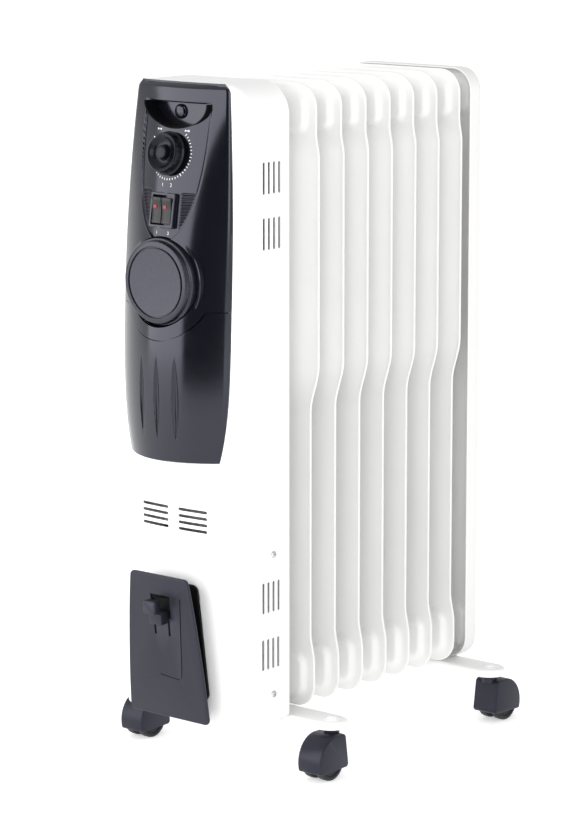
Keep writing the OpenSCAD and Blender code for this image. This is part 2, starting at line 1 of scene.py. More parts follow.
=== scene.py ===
"""Looks for the oil filled radiator heater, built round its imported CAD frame.

Shapes are worked out in millimetres, with Y counted from the rear rim of the sheet cover.
place() turns them into metres in the frame of the part.
"""

import json
import math

import bmesh
import bpy
import numpy as np
from mathutils import Matrix, Vector


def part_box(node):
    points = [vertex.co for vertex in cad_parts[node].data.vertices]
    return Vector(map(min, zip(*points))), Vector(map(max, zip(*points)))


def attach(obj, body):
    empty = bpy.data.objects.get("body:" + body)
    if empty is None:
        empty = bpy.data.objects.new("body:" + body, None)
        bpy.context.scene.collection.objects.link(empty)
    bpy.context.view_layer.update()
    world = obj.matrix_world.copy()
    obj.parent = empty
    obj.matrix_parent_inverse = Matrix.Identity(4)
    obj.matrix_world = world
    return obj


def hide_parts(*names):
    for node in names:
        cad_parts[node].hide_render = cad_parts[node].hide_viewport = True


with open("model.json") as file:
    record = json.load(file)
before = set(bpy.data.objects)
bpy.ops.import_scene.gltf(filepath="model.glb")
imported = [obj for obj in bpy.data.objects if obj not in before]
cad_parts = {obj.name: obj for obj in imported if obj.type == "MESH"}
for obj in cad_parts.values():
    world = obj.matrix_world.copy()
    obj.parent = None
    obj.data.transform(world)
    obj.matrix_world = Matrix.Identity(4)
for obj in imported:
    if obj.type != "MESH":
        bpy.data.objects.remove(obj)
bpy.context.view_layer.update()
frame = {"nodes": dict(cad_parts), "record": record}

MM = 0.001
RIM_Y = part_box("front_cover")[1][1] / MM
ROOT = "radiator"
nodes_of = frame["nodes"]


# ---------------------------------------------------------------- small helpers
def smooth(a, b, v):
    t = np.clip((v - a) / (b - a), 0, 1)
    return t * t * (3 - 2 * t)


def rounded_box(x, z, half_x, z0, z1, r):
    """Signed distance to a rounded rectangle, negative inside."""
    dx = np.abs(x) - half_x + r
    dz = np.abs(z - (z0 + z1) / 2) - (z1 - z0) / 2 + r
    outside = np.hypot(np.maximum(dx, 0), np.maximum(dz, 0))
    return outside + np.minimum(np.maximum(dx, dz), 0) - r


def steps(*knots):
    """Sample positions: steps((0, 10, 4), (10, 30, 5)) gives even runs that share their ends."""
    runs = [np.linspace(a, b, n + 1)[:-1] for a, b, n in knots]
    return np.concatenate(runs + [[knots[-1][1]]])


def place(points):
    p = np.array(points, dtype=float).reshape(-1, 3).copy()
    p[:, 1] += RIM_Y
    return p * MM


def finish_mesh(mesh, angle=32):
    mesh.polygons.foreach_set("use_smooth", [True] * len(mesh.polygons))
    mesh.set_sharp_from_angle(angle=math.radians(angle))
    mesh.update()


def new_object(name, points, faces, angle=32):
    mesh = bpy.data.meshes.new(name)
    mesh.from_pydata([tuple(p) for p in place(points)], [], [tuple(map(int, f)) for f in faces])
    bm = bmesh.new()
    bm.from_mesh(mesh)
    bmesh.ops.recalc_face_normals(bm, faces=bm.faces)
    bm.to_mesh(mesh)
    bm.free()
    finish_mesh(mesh, angle)
    obj = bpy.data.objects.new(name, mesh)
    bpy.context.collection.objects.link(obj)
    return obj


def settle(obj, angle=32):
    """Applies obj's modifiers to its mesh."""
    graph = bpy.context.evaluated_depsgraph_get()
    mesh = bpy.data.meshes.new_from_object(obj.evaluated_get(graph))
    old = obj.data
    obj.modifiers.clear()
    obj.data = mesh
    bpy.data.meshes.remove(old)
    finish_mesh(mesh, angle)
    return obj


def bevel(obj, width, segments=3, angle=40):
    """Rounds the edges sharper than angle."""
    mod = obj.modifiers.new("bevel", "BEVEL")
    mod.width = width * MM
    mod.segments = segments
    mod.limit_method = "ANGLE"
    mod.angle_limit = math.radians(angle)
    return settle(obj)


def boolean(obj, cutters, operation="DIFFERENCE"):
    """Cuts obj by each cutter, then deletes the cutters."""
    for c in cutters:
        mod = obj.modifiers.new("cut", "BOOLEAN")
        mod.operation = operation
        mod.solver = "EXACT"
        mod.object = c
    settle(obj)
    for c in cutters:
        mesh = c.data
        bpy.data.objects.remove(c)
        bpy.data.meshes.remove(mesh)
    return obj


def join(name, parts):
    """One object from several, whose meshes keep their materials."""
    bm = bmesh.new()
    mesh = bpy.data.meshes.new(name)
    for part in parts:
        offset = len(mesh.materials)
        for m in part.data.materials:
            mesh.materials.append(m)
        before = len(bm.faces)
        bm.from_mesh(part.data)
        bm.faces.ensure_lookup_table()
        for f in bm.faces[before:]:
            f.material_index += offset
    bm.to_mesh(mesh)
    bm.free()
    obj = bpy.data.objects.new(name, mesh)
    bpy.context.collection.objects.link(obj)
    for part in parts:
        old = part.data
        bpy.data.objects.remove(part)
        bpy.data.meshes.remove(old)
    finish_mesh(mesh)
    return obj


def wear_on(obj, material, body, slot_name, *replaced):
    """Gives a finished piece its material and its body, and hides the CAD nodes that it stands for."""
    obj.data.materials.clear()
    obj.data.materials.append(material)
    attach(obj, body)
    if replaced:
        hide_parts(*replaced)
    return obj


def grid_faces(rows, cols, start=0):
    i = np.arange(rows - 1)[:, None] * cols + np.arange(cols - 1)[None, :] + start
    return np.stack([i, i + 1, i + cols + 1, i + cols], axis=-1).reshape(-1, 4)


def skin(name, front, back, angle=32):
    """Closed solid between two grids of points with the same rows and columns."""
    rows, cols = front.shape[:2]
    n = rows * cols
    faces = [*grid_faces(rows, cols), *grid_faces(rows, cols, n)]
    border = [*range(cols), *[r * cols + cols - 1 for r in range(1, rows)],
              *[(rows - 1) * cols + c for c in range(cols - 2, -1, -1)],
              *[r * cols for r in range(rows - 2, 0, -1)]]
    for a, b in zip(border, border[1:] + border[:1]):
        faces.append((a, b, b + n, a + n))
    points = np.concatenate([front.reshape(-1, 3), back.reshape(-1, 3)])
    return new_object(name, points, faces, angle)


def axis_matrix(origin, outward, roll=0.0):
    """Local Z along outward, local X as near world X as it can be."""
    z = Vector(outward).normalized()
    x = Vector((1, 0, 0)) if abs(z.x) < 0.9 else Vector((0, 1, 0))
    y = z.cross(x).normalized()
    x = y.cross(z).normalized()
    turn = Matrix((x, y, z)).transposed().to_4x4()
    return Matrix.Translation(Vector(origin)) @ turn @ Matrix.Rotation(roll, 4, "Z")


def placed(matrix, points):
    return [tuple(matrix @ Vector(p)) for p in points]


def revolve(name, profile, matrix, segments=64, angle=32, stretch=None):
    """Turned solid from (radius, height) pairs. stretch(radius, height, turn) may vary the radius."""
    points, faces = [], []
    n = len(profile)
    for k in range(segments):
        t = 2 * math.pi * k / segments
        for r, h in profile:
            if stretch:
                r = stretch(r, h, t)
            points.append((r * math.cos(t), r * math.sin(t), h))
    for k in range(segments):
        a, b = k * n, (k + 1) % segments * n
        for j in range(n - 1):
            faces.append((a + j, b + j, b + j + 1, a + j + 1))
    for j in (0, n - 1):
        if profile[j][0] > 1e-6:
            faces.append([k * n + j for k in range(segments)])
    obj = new_object(name, placed(matrix, points), faces, angle)
    bm = bmesh.new()
    bm.from_mesh(obj.data)
    bmesh.ops.remove_doubles(bm, verts=bm.verts, dist=1e-7)
    bmesh.ops.recalc_face_normals(bm, faces=bm.faces)
    bm.to_mesh(obj.data)
    bm.free()
    finish_mesh(obj.data, angle)
    return obj


def prism(name, outline, matrix, low, high, angle=32):
    """Straight solid from an outline in local X, Y between two local heights."""
    n = len(outline)
    points = [(x, y, h) for h in (low, high) for x, y in outline]
    faces = [list(range(n)), list(range(n, 2 * n))]
    faces += [(k, (k + 1) % n, n + (k + 1) % n, n + k) for k in range(n)]
    return new_object(name, placed(matrix, points), faces, angle)


def block(name, low, high):
    (x0, y0, z0), (x1, y1, z1) = low, high
    outline = [(x0, y0), (x1, y0), (x1, y1), (x0, y1)]
    return prism(name, outline, Matrix.Identity(4), z0, z1)


def fillet(corners, points=8):
    """Outline with round corners from (x, y, radius) triples in order."""
    out = []
    n = len(corners)
    for k in range(n):
        p = np.array(corners[k][:2], dtype=float)
        a = np.array(corners[k - 1][:2], dtype=float) - p
        b = np.array(corners[(k + 1) % n][:2], dtype=float) - p
        r = corners[k][2]
        if r <= 0:
            out.append(tuple(p))
            continue
        a /= np.linalg.norm(a)
        b /= np.linalg.norm(b)
        half = math.acos(np.clip(a @ b, -1, 1)) / 2
        centre = p + (a + b) / np.linalg.norm(a + b) * r / math.sin(half)
        start = p + a * r / math.tan(half) - centre
        end = p + b * r / math.tan(half) - centre
        t0 = math.atan2(start[1], start[0])
        turn = (math.atan2(end[1], end[0]) - t0 + math.pi) % (2 * math.pi) - math.pi
        out += [tuple(centre + r * np.array([math.cos(t0 + turn * s), math.sin(t0 + turn * s)]))
                for s in np.linspace(0, 1, points)]
    return out


def rect(w, h, r=0.0, points=6):
    return fillet([(-w / 2, -h / 2, r), (w / 2, -h / 2, r), (w / 2, h / 2, r), (-w / 2, h / 2, r)], points)


def disc_outline(r, points=96):
    turns = [2 * math.pi * k / points for k in range(points)]
    return [(r * math.cos(t), r * math.sin(t)) for t in turns]


def facing(z_centre):
    """Frame with local X across, local Y up and local Z to the front, for shapes cut along Y."""
    return Matrix(((1, 0, 0, 0), (0, 0, -1, 0), (0, 1, 0, z_centre), (0, 0, 0, 1)))


def leaning(y_top, z_top, lean, height):
    """Like facing(), for a plate that leans about its top edge. Local Y is 0 at its foot."""
    return (Matrix.Translation((0, y_top, z_top)) @ Matrix.Rotation(lean, 4, "X")
            @ Matrix.Translation((0, 0, -height)) @ facing(0))


# ---------------------------------------------------------------- materials
COOL = (0.83, 0.85, 1.0)


def material(name, base, rough, metallic=0.0, specular=0.5, tint=(1, 1, 1), coat=0.0, mottle=0.03,
             mottle_scale=14, grain_scale=1500, grain=0.1, rough_vary=0.06, edge=None, dust=0.0):
    """Colour clouds, uneven gloss, fine grain and a given colour on sharp crests, all from nodes. The crest
    colour is paler wear on most parts, darker painted shade on the fin crests and a painted highlight on the
    rocker crests.
    """
    m = bpy.data.materials.new(name)
    m.use_nodes = True
    tree = m.node_tree
    tree.nodes.clear()

    def node(kind, **values):
        n = tree.nodes.new(kind)
        for k, v in values.items():
            setattr(n, k, v)
        return n

    link = tree.links.new
    out = node("ShaderNodeOutputMaterial")
    shader = node("ShaderNodeBsdfPrincipled")
    link(shader.outputs[0], out.inputs[0])
    shader.inputs["Metallic"].default_value = metallic
    shader.inputs["Specular IOR Level"].default_value = specular
    shader.inputs["Specular Tint"].default_value = (*tint, 1)
    shader.inputs["Coat Weight"].default_value = coat
    shader.inputs["Coat Roughness"].default_value = 0.15
    where = node("ShaderNodeTexCoord")

    def noise(scale, detail):
        n = node("ShaderNodeTexNoise")
        n.inputs["Scale"].default_value = scale
        n.inputs["Detail"].default_value = detail
        link(where.outputs["Object"], n.inputs["Vector"])
        return n.outputs["Fac"]

    def shade(k):
        return (*[min(1, max(0, c * k)) for c in base], 1)

    clouds = node("ShaderNodeValToRGB")
    clouds.color_ramp.elements[0].position = 0.3
    clouds.color_ramp.elements[1].position = 0.7
    clouds.color_ramp.elements[0].color = shade(1 - mottle)
    clouds.color_ramp.elements[1].color = shade(1 + mottle)
    link(noise(mottle_scale, 4), clouds.inputs[0])
    colour = clouds.outputs[0]
    if dust:
        specks = node("ShaderNodeMix", data_type="RGBA")
        fine = node("ShaderNodeMapRange")
        fine.inputs["From Min"].default_value = 0.5
        fine.inputs["From Max"].default_value = 0.72
        fine.inputs["To Max"].default_value = dust
        link(noise(grain_scale * 0.6, 2), fine.inputs["Value"])
        link(fine.outputs[0], specks.inputs["Factor"])
        link(colour, specks.inputs["A"])
        specks.inputs["B"].default_value = shade(1.9)
        colour = specks.outputs["Result"]
    # Sharp crests take the edge colour: wear on most parts, painted shade on the fins, a painted highlight on
    # the rockers.
    if edge:
        crest_wear_and_painted_light = node("ShaderNodeMix", data_type="RGBA")
        geometry = node("ShaderNodeNewGeometry")
        crest = node("ShaderNodeMapRange")
        crest.inputs["From Min"].default_value = 0.52
        crest.inputs["From Max"].default_value = 0.62
        crest.inputs["To Max"].default_value = 0.7
        link(geometry.outputs["Pointiness"], crest.inputs["Value"])
        link(crest.outputs[0], crest_wear_and_painted_light.inputs["Factor"])
        link(colour, crest_wear_and_painted_light.inputs["A"])
        crest_wear_and_painted_light.inputs["B"].default_value = (*edge, 1)
        colour = crest_wear_and_painted_light.outputs["Result"]
    link(colour, shader.inputs["Base Color"])
    gloss = node("ShaderNodeMapRange")
    gloss.inputs["To Min"].default_value = max(0.02, rough - rough_vary)
    gloss.inputs["To Max"].default_value = min(1, rough + rough_vary)
    link(noise(mottle_scale * 5, 3), gloss.inputs["Value"])
    link(gloss.outputs[0], shader.inputs["Roughness"])
    bump = node("ShaderNodeBump")
    bump.inputs["Strength"].default_value = grain
    bump.inputs["Distance"].default_value = 0.0002
    link(noise(grain_scale, 3), bump.inputs["Height"])
    link(bump.outputs[0], shader.inputs["Normal"])
    return m


# The fin crests are painted darker than the enamel: painted shade that dims the highlights on the fin edges.
FIN_PAINT = material("fin_enamel", (0.84, 0.84, 0.83), 0.45, coat=0.1, mottle=0.012, grain=0.05,
                     grain_scale=700, edge=(0.8, 0.8, 0.79))
WHITE_PAINT = material("cover_enamel", (0.92, 0.92, 0.915), 0.4, coat=0.15, mottle=0.01, grain=0.06,
                       grain_scale=900, edge=(0.96, 0.96, 0.955))
PANEL = material("panel_plastic", (0.004, 0.004, 0.007), 0.15, specular=0.62, tint=COOL, mottle=0.12,
                 grain_scale=2200, grain=0.03, rough_vary=0.03, edge=(0.012, 0.012, 0.018), dust=0.1)
CAP = material("cap_plastic", (0.008, 0.008, 0.013), 0.27, specular=0.6, tint=COOL, mottle=0.12,
               grain_scale=2600, grain=0.08, rough_vary=0.04, edge=(0.015, 0.015, 0.022), dust=0.1)
KNOB = material("knob_plastic", (0.003, 0.003, 0.005), 0.26, specular=0.3, tint=COOL, mottle=0.1,
                grain_scale=2400, grain=0.05, edge=(0.01, 0.01, 0.014))
# The rocker crests are painted grey: a painted highlight standing for the light caught on the rocker edges.
ROCKER = material("rocker_plastic", (0.004, 0.004, 0.006), 0.22, specular=0.35, mottle=0.1,
                  grain_scale=2600, grain=0.05, edge=(0.05, 0.05, 0.055))
TRIM = material("trim_plastic", (0.009, 0.009, 0.015), 0.38, specular=0.42, tint=COOL, mottle=0.12,
                grain_scale=2000, grain=0.1, edge=(0.03, 0.03, 0.042), dust=0.12)
HOOD = material("hood_plastic", (0.007, 0.007, 0.014), 0.36, specular=0.38, tint=COOL, mottle=0.12,
                grain_scale=2000, grain=0.1, edge=(0.025, 0.025, 0.04), dust=0.12)
WHEEL = material("wheel_plastic", (0.01, 0.01, 0.014), 0.5, specular=0.35, mottle=0.2,
                 grain_scale=1600, grain=0.2, edge=(0.03, 0.03, 0.035), dust=0.3)
# Matte near-black without gloss: painted shade for the sheet in the finger pocket and for the spool seen
# through the key opening, whose own plastic is black.
DARK = material("black_plastic_and_painted_shade", (0.003, 0.003, 0.004), 0.6, specular=0.15, mottle=0.1, grain=0.1)
RED = material("lamp_red", (0.2, 0.006, 0.006), 0.18, mottle=0.15, mottle_scale=300, grain=0.04)
PRINT = material("white_print", (0.8, 0.8, 0.8), 0.5, mottle=0.04, mottle_scale=400, grain=0.05)
ZINC = material("zinc_plate", (0.62, 0.63, 0.66), 0.32, metallic=1.0, mottle=0.08, mottle_scale=160,
                grain_scale=900, grain=0.12, edge=(0.75, 0.75, 0.77))
ELEMENT = material("element_tube", (0.36, 0.35, 0.36), 0.38, metallic=1.0, mottle=0.2, mottle_scale=90,
                   grain_scale=1300, grain=0.15)
BRASS = material("turned_brass", (0.72, 0.52, 0.24), 0.3, metallic=1.0, mottle=0.1, mottle_scale=120,
                 grain_scale=1200, grain=0.12, edge=(0.85, 0.68, 0.38))
RUBBER = material("gasket_rubber", (0.02, 0.02, 0.02), 0.7, mottle=0.2, grain=0.3)
TERMINAL = material("terminal_plastic", (0.75, 0.73, 0.68), 0.45, mottle=0.04, grain=0.1,
                    edge=(0.85, 0.84, 0.8))

SLOT_LOOKS = {
    "fin_paint": FIN_PAINT, "white_paint": WHITE_PAINT, "panel_plastic": PANEL, "knob_plastic": KNOB,
    "rocker_plastic": ROCKER, "trim_plastic": TRIM, "wheel_plastic": WHEEL, "brass": BRASS,
    "gasket_rubber": RUBBER, "terminal_plastic": TERMINAL, "element_steel": ELEMENT,
    "zinc_steel": ZINC,
}
for sub in frame["record"]["subparts"]:
    cad = nodes_of[sub["node"]]
    cad.data.materials.clear()
    cad.data.materials.append(SLOT_LOOKS[sub["material_slot"]])


# ---------------------------------------------------------------- fins
FIN_Z, FIN_TOP = 54.0, 634.0
PITCH, FIRST_GAP = 35.35, 32.3
FIN_W, WAIST_W, FRONT_W = 77.5, 73.0, 71.0
CORNER = 22.0
LEAN = 8.5
HALF_SHEET = 0.75
FIN_ROWS = np.concatenate([
    FIN_Z + CORNER * (1 - np.cos(np.linspace(0, math.pi / 2, 9)))[:-1],
    steps((76, 92, 4), (92, 134, 22), (134, 330, 8), (330, 380, 18), (380, 556, 8), (556, 612, 30)),
    FIN_TOP - CORNER * (1 - np.cos(np.linspace(math.pi / 2, 0, 9)))[1:],
])


def fin_y(i):
    return FIRST_GAP + (i - 2) * PITCH


def fin_half(i, z):
    """Half width of fin i at height z."""
    d = CORNER - np.minimum(np.minimum(z - FIN_Z, FIN_TOP - z), CORNER)
    cut = CORNER - np.sqrt(np.maximum(0, CORNER ** 2 - d ** 2))
    if i == 1:
        return FRONT_W - cut
    if i == 9:
        return FIN_W - 0.7 - cut
    body = WAIST_W + (FIN_W - WAIST_W) * (1 - smooth(96, 126, z))
    return body + 2.5 * smooth(334, 374, z) + 2 * smooth(568, 592, z) - cut


def fin_rise(x, z, half):
    """How far each sheet of a fin stands off its mid plane."""
    def pad(z0, z1):
        outer = smooth(0, 7, -rounded_box(x, z, half - 7.5, z0, z1, 13)) * 4.2
        inner = smooth(0, 9, -rounded_box(x, z, 46, z0 + 5, z1 - 5, 12)) * 3.3
        return outer + inner
    duct = smooth(0, 6, -rounded_box(x, z, 25, 80, 610, 10)) * 5
    return np.maximum(np.maximum(pad(586, 628), pad(59, 107)), duct)


def fin_sheet(i, columns):
    z = np.repeat(FIN_ROWS[:, None], len(columns), axis=1)
    u = np.repeat(columns[None, :], len(FIN_ROWS), axis=0)
    half = fin_half(i, z)
    x = u * half
    wing = smooth(42, 76, np.abs(x))
    upper = smooth(334, 376, z) * (1 - 0.75 * smooth(566, 590, z))
    mid = fin_y(i) + (0 if i in (1, 9) else LEAN * wing * upper)
    inside = np.minimum(half - np.abs(x), np.minimum(z - FIN_Z, FIN_TOP - z))
    bead = 0.3 * (1 - smooth(1.2, 3, inside)) - 0.6 * (1 - smooth(0, 0.8, inside))
    thick = HALF_SHEET + bead + fin_rise(x, z, half)
    front = np.stack([x, mid - thick, z], axis=-1)
    back = np.stack([x, mid + thick, z], axis=-1)
    return front, back


half_columns = 1 - steps((0, 0.012, 2), (0.012, 0.03, 2), (0.03, 0.22, 15), (0.22, 0.6, 5),
                         (0.6, 0.8, 8), (0.8, 1, 2))
FIN_COLUMNS = np.concatenate([-half_columns, half_columns[::-1][1:]])
FIN_PIECE = (FIN_PAINT, ROOT, "fin_paint")

first = skin("fin_sheets_2", *fin_sheet(2, FIN_COLUMNS), angle=50)
for i in range(2, 9):
    fin = first
    if i > 2:
        fin = first.copy()
        fin.data = first.data.copy()
        fin.name = f"fin_sheets_{i}"
        fin.data.transform(Matrix.Translation((0, (i - 2) * PITCH * MM, 0)))
        bpy.context.collection.objects.link(fin)
    wear_on(fin, *FIN_PIECE, f"fin_{i}")
wear_on(skin("fin_sheets_1", *fin_sheet(1, FIN_COLUMNS), angle=50), *FIN_PIECE, "fin_1")


def rounded_rect(half_x, z0, z1, r, points=10):
    return fillet([(half_x, z0, r), (half_x, z1, r), (-half_x, z1, r), (-half_x, z0, r)], points)


def rear_tray():
    """The last fin: a sheet with a rolled rim that points forwards all round."""
    sheet = skin("tray_sheet", *fin_sheet(9, FIN_COLUMNS * 0.99), angle=50)
    front_y, back_y = fin_y(9) - 15.6, fin_y(9) + 0.8
    section = [(0.5, front_y), (0, front_y + 0.5)]
    section += [(4 - 4 * math.cos(t), back_y - 4 + 4 * math.sin(t)) for t in np.linspace(0, math.pi / 2, 7)]
    section += [(12, back_y), (12, back_y - 1.5)]
    section += [(4 - 2.5 * math.cos(t), back_y - 4 + 2.5 * math.sin(t)) for t in np.linspace(math.pi / 2, 0, 7)]
    section += [(1.5, front_y + 0.5), (1.0, front_y)]
    loops = [[(x, y, z) for x, z in rounded_rect(76.8 - inset, FIN_Z + inset, FIN_TOP - inset,
                                                 max(CORNER - inset, 4))] for inset, y in section]
    n = len(loops[0])
    m = len(loops)
    faces = [(j * n + k, j * n + (k + 1) % n, (j + 1) % m * n + (k + 1) % n, (j + 1) % m * n + k)
             for j in range(m) for k in range(n)]
    rim = new_object("tray_rim", [p for loop in loops for p in loop], faces, 40)
    return join("rear_fin_tray", [sheet, rim])


wear_on(rear_tray(), *FIN_PIECE, "fin_9")


# ---------------------------------------------------------------- cover
COVER_W, COVER_Z, COVER_TOP, SHOULDER = 74.0, 52.5, 638.0, 30.0
EDGE_R = 8.0
FOOT_R, SHEET = 5.0, 1.1
SLOT_STEPS = (-1.5, -0.5, 0.5, 1.5)
SIDE_SLOT_Y, SIDE_SLOT_PITCH = -24.0, 7.0
SIDE_SLOT_GROUPS = ((0, 554), (0, 504), (-1.5, 171), (-2, 118))
FRONT_SLOT_X, FRONT_SLOT_Z, FRONT_SLOT_PITCH = 22.6, 243.0, 6.0
SCREW_Y, SCREW_HEIGHTS = -22.0, (210, 79)


def cover_front(x, z):
    return -76 + x * x / 720 + (z - 290) ** 2 / 8000


def round_off(distance, r):
    d = max(0.0, r - distance)
    return r - math.sqrt(max(0.0, r * r - d * d))


def cover_ring(z):
    """Outline of the cover at height z from the rear left round the front to the rear right."""
    w = COVER_W - round_off(COVER_TOP - z, SHOULDER) - round_off(z - COVER_Z, FOOT_R)
    b = round_off(z - COVER_Z, FOOT_R) + round_off(COVER_TOP - z, FOOT_R)
    xs = w - EDGE_R
    right = [(xs * s, cover_front(xs * s, z) + b) for s in (0.15, 0.3, 0.45, 0.6, 0.75, 0.9)]
    right += [(xs + EDGE_R * math.sin(t), cover_front(xs, z) + b + EDGE_R * (1 - math.cos(t)))
              for t in np.linspace(0, math.pi / 2, 9)]
    corner = cover_front(xs, z) + b + EDGE_R
    right += [(w, corner - k * corner / 6) for k in range(1, 7)]
    ring = [(-x, y) for x, y in right[::-1]] + [(0, cover_front(0, z) + b)] + right
    return [(x, y, z) for x, y in ring]


def ladder(n, start, skip=0):
    """Faces that close a ring which is the same left and right."""
    return [(start + k, start + k + 1, start + n - 2 - k, start + n - 1 - k) for k in range(skip, n // 2)]


def sheet_cover():
    levels = np.concatenate([
        COVER_Z + FOOT_R * (1 - np.cos(np.linspace(0, math.pi / 2, 6)))[:-1],
        steps((COVER_Z + FOOT_R, 600, 44)),
        COVER_TOP - SHOULDER * (1 - np.sin(np.linspace(0, math.pi / 2, 14)))])
    rings = [cover_ring(z) for z in levels]
    n = len(rings[0])
    faces = [*grid_faces(len(rings), n), *ladder(n, (len(rings) - 1) * n)]
    # The floor of the cover stops short of the first fin.
    faces += ladder(n, 0, 2)
    cover = new_object("sheet_cover", [p for r in rings for p in r], faces, 40)
    mod = cover.modifiers.new("sheet", "SOLIDIFY")
    mod.thickness = SHEET * MM
    mod.offset = -1
    settle(cover, 40)
    cutters = []
    for side in (-1, 1):
        for dy, zc in SIDE_SLOT_GROUPS:
            for k in SLOT_STEPS:
                yc = SIDE_SLOT_Y + dy + k * SIDE_SLOT_PITCH
                m = Matrix(((0, 0, 1, side * COVER_W), (0, 1, 0, yc), (1, 0, 0, zc), (0, 0, 0, 1)))
                cutters.append(prism("slot", rect(29, 3.3, 1.6, 5), m, -8, 8))
        for k in SLOT_STEPS:
            zc = FRONT_SLOT_Z + k * FRONT_SLOT_PITCH
            m = Matrix(((1, 0, 0, side * FRONT_SLOT_X), (0, 0, 1, -72), (0, 1, 0, zc), (0, 0, 0, 1)))
            cutters.append(prism("slot", rect(33.4, 2.9, 1.4, 5), m, -12, 12))
    window = block("window", (-44, -90, 340), (44, -56.5, 624))
    cutters = [join("slots", cutters), window]
    return boolean(cover, cutters)


wear_on(sheet_cover(), WHITE_PAINT, ROOT, "white_paint", "front_cover")


def side_screws():
    """Four cross-slotted screws with domed heads."""
    profile = [(0, 1.7), (1.5, 1.6), (2.7, 1.1), (3.3, 0.3), (3.4, 0), (1.7, 0), (1.7, -7), (0, -7)]
    parts = []
    for side in (-1, 1):
        for z in SCREW_HEIGHTS:
            m = axis_matrix((side * COVER_W, SCREW_Y, z), (side, 0, 0))
            head = revolve("head", profile, m, 32)
            cross = [prism("c", [(-a, -b), (a, -b), (a, b), (-a, b)], m, 0.6, 3)
                     for a, b in ((2.0, 0.35), (0.35, 2.0))]
            parts.append(boolean(head, cross))
    return join("side_screws", parts)


wear_on(side_screws(), ZINC, ROOT, "zinc_steel", "cover_screws")


# ---------------------------------------------------------------- control panel
PANEL_LOW, PANEL_TOP, SEAM_Z = 299.0, 638.0, 437.0
CAP_Z, CAP_R = 461.0, 39.5
KNOB_Z, SWITCH_Z = 575.0, 525.0
KNOB_TILT, SWITCH_TILT = math.radians(12), math.radians(9)
GRIP_W, GRIP_H, GRIP_Z, GRIP_FLOOR, GRIP_BOSS_X = 37.5, 23.0, 620.0, -54.0, -6.5
CAP_FACE = -98.0
cap_matrix = axis_matrix((0, CAP_FACE, CAP_Z), (0, -1, 0))


def panel_half(z):
    over = 64.5 - 10 * (np.maximum(z - 450, 0) / 188) ** 2
    return over - 11 * (np.maximum(450 - z, 0) / 151) ** 4


def bulge(z):
    return 28 - 22 * (np.maximum(z - 400, 0) / 238) ** 2 - 6 * (np.maximum(400 - z, 0) / 101) ** 2


def panel_base(x, z):
    a = panel_half(z)
    return cover_front(a, z) - bulge(z) * (1 - x * x / (a * a)) - 1.5


def shield_half(z):
    """Half width of the sunk shield that carries the controls."""
    t = np.clip((GRIP_Z - z) / 123, 0, 1)
    return 38.5 * np.sqrt(np.maximum(0, 1 - t ** 3))


def panel_relief(x, z):
    """Steps and grooves of the panel's face, positive to the rear."""
    inside = shield_half(z) - np.abs(x)
    below = np.minimum(GRIP_Z - z, (z - 497) * 0.7)
    shield = smooth(-1.0, 1.2, np.minimum(inside, below))
    field = smooth(0, 1.2, inside - 1.5) * smooth(509, 511, z) * (1 - smooth(541, 543, z))
    field = field * smooth(0, 1, np.abs(x) - 17.5)
    ribs = 0.5 - 0.5 * np.cos((z - 510) / 3.0 * 2 * math.pi)
    outline = np.exp(-(np.minimum(inside, below) / 0.75) ** 2)
    relief = 2.0 * shield + 0.9 * outline + 1.1 * field * (1 - ribs)
    for x0 in (-20, 0, 20):
        t = np.clip((z - 318) / (394 - 318), 0, 1)
        leaf = 3.4 * np.sin(math.pi * t) ** 0.8
        hollow = np.clip(1 - ((x - x0) / np.maximum(leaf, 1e-3)) ** 2, 0, 1) * (leaf > 0.05)
        relief = relief + 2.4 * hollow * np.clip(leaf / 3.4, 0, 1)
    lip = smooth(0, 2.5, PANEL_TOP - z)
    return relief + 1.5 * (1 - lip)


def panel_shell(name, z_rows, set_back=0.0):
    """Thin moulding over the given heights, with its edges turned in to the cover."""
    side = steps((0, 0.02, 2), (0.02, 0.1, 3), (0.1, 0.3, 8))
    cols = np.concatenate([-1 + side, steps((-0.7, 0.7, 190))[1:-1], 1 - side[::-1]])
    z = np.repeat(z_rows[:, None], len(cols), axis=1)
    u = np.repeat(cols[None, :], len(z_rows), axis=0)
    a = panel_half(z) - 5 * (1 - smooth(0, 9, PANEL_TOP - z)) ** 2
    x = u * a
    edge = 1.6 * (1 - smooth(0, 2.6, a - np.abs(x))) ** 2 + 4 * (1 - smooth(0, 7, PANEL_TOP - z)) ** 2
    y = np.minimum(panel_base(x, z) + panel_relief(x, z) + edge + set_back, cover_front(x, z) - 0.45)
    front = np.stack([x, y, z], axis=-1)
    back_y = np.maximum(cover_front(x, z) - 0.35, y + 0.2)
    shell_y = np.where((a - np.abs(x) > 2) & (z < PANEL_TOP - 3) & (z > PANEL_LOW + 3),
                       np.minimum(y + 2.6, back_y), back_y)
    back = np.stack([x, shell_y, z], axis=-1)
    return skin(name, front, back, angle=38)


def grip_outline(grow=0.0):
    t = np.linspace(math.pi, 2 * math.pi, 33)
    return [((GRIP_W + grow) * math.cos(a), (GRIP_H + grow) * math.sin(a)) for a in t]


def on_panel(z, tilt):
    """Frame on the panel's middle line, with local Z outward."""
    return axis_matrix((0.0, float(panel_base(0.0, z)), z), (0, -math.cos(tilt), math.sin(tilt)))


ROCKER_PITCH = 11.6
SWITCH_W, SWITCH_H = 2 * ROCKER_PITCH + 1, 27.0
FRAME_W, FRAME_H = SWITCH_W + 4.4, SWITCH_H + 4.4
switch_matrix = on_panel(SWITCH_Z, SWITCH_TILT)


